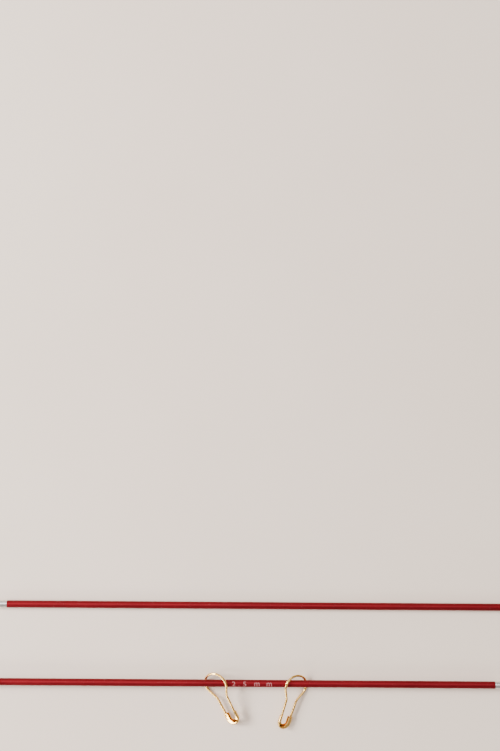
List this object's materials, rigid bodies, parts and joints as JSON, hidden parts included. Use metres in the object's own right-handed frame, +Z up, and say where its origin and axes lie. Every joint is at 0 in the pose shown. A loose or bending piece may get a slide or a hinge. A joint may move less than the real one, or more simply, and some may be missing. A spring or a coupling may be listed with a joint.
{
  "type": "double pointed needles",
  "caption": "Slim double pointed knitting needles with red anodised rods and silver tips; pear-shaped brass pin markers hang on one of them.",
  "frame": {"origin": "on the table, under the middle of the set's bounding box", "axes": "+X along the needles, +Y from the needle with the markers to the other one, +Z up from the table"},
  "size_m": [0.2046, 0.044, 0.0049],
  "materials": {
    "red_anodised": "satin red anodising over a drawn rod",
    "nickel_tip": "polished nickel plate",
    "brass_wire": "bright drawn wire",
    "brass_cap": "bright folded sheet"
  },
  "bodies": {
    "heel_needle": {"heel_needle_shaft": "red_anodised", "heel_needle_left_tip": "nickel_tip", "heel_needle_right_tip": "nickel_tip"},
    "instep_needle": {"instep_needle_shaft": "red_anodised", "instep_needle_left_tip": "nickel_tip", "instep_needle_right_tip": "nickel_tip"},
    "left_marker": {"left_marker_fixed_wire": "brass_wire", "left_marker_cap": "brass_cap"},
    "left_marker_pin": {"left_marker_pin_wire": "brass_wire"},
    "right_marker": {"right_marker_fixed_wire": "brass_wire", "right_marker_cap": "brass_cap"},
    "right_marker_pin": {"right_marker_pin_wire": "brass_wire"}
  },
  "joints": [
    {"name": "instep_needle_slide", "type": "slide", "parent": "heel_needle", "child": "instep_needle", "axis": [1, 0, 0], "range_m": [-0.058, 0.052]},
    {"name": "left_marker_swing", "type": "hinge", "parent": "heel_needle", "child": "left_marker", "pos_m": [-0.0098, -0.00592, 0.00259], "axis": [-1, 0, 0], "continuous": true},
    {"name": "left_marker_pin_release", "type": "hinge", "parent": "left_marker", "child": "left_marker_pin", "pos_m": [-0.01384, -0.00285, 0.00267], "axis": [-0.3225, -0.1125, -0.9399], "range_deg": [0, 25], "stiffness_Nm_per_rad": 0.01, "springref_deg": -5.73},
    {"name": "right_marker_swing", "type": "hinge", "parent": "heel_needle", "child": "right_marker", "pos_m": [0.0143, -0.00592, 0.00259], "axis": [-1, 0, 0], "continuous": true},
    {"name": "right_marker_pin_release", "type": "hinge", "parent": "right_marker", "child": "right_marker_pin", "pos_m": [0.01698, -0.00318, 0.00267], "axis": [-0.3364, 0.0576, 0.94], "range_deg": [0, 25], "stiffness_Nm_per_rad": 0.01, "springref_deg": -5.73}
  ]
}
